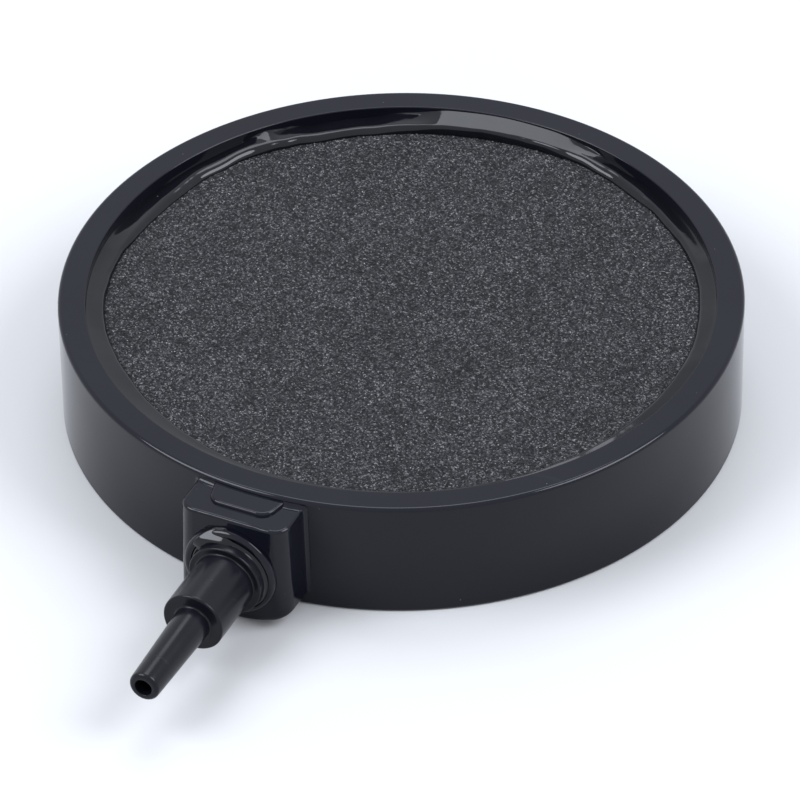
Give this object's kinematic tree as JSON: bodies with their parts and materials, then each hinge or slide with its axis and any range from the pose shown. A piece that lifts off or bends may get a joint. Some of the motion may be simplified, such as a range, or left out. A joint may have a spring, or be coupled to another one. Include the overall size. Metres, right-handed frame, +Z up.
{
  "type": "air stone disc",
  "caption": "Round flat air stone: a porous mineral disc glued in a shallow plastic cup, fed by a stepped side nozzle for air hose.",
  "frame": {"origin": "centre of the casing underside, where the disc rests on a floor", "axes": "+Z up out of the porous face, -Y along the hose nozzle away from the disc, +X to the right seen from the nozzle end"},
  "size_m": [0.107, 0.1437, 0.02],
  "materials": {
    "casing_plastic": "black moulded ABS, smooth and semi-gloss",
    "nozzle_plastic": "black moulded plastic, satin",
    "bonded_stone": "matt dark grey bonded mineral grain, fine pores",
    "cured_sealant": "black cured adhesive, wet-looking gloss"
  },
  "bodies": {
    "root": {"casing": "casing_plastic", "stone_disc": "bonded_stone", "stone_sealant": "cured_sealant", "inlet_nozzle": "nozzle_plastic", "nozzle_sealant": "cured_sealant"}
  },
  "joints": []
}
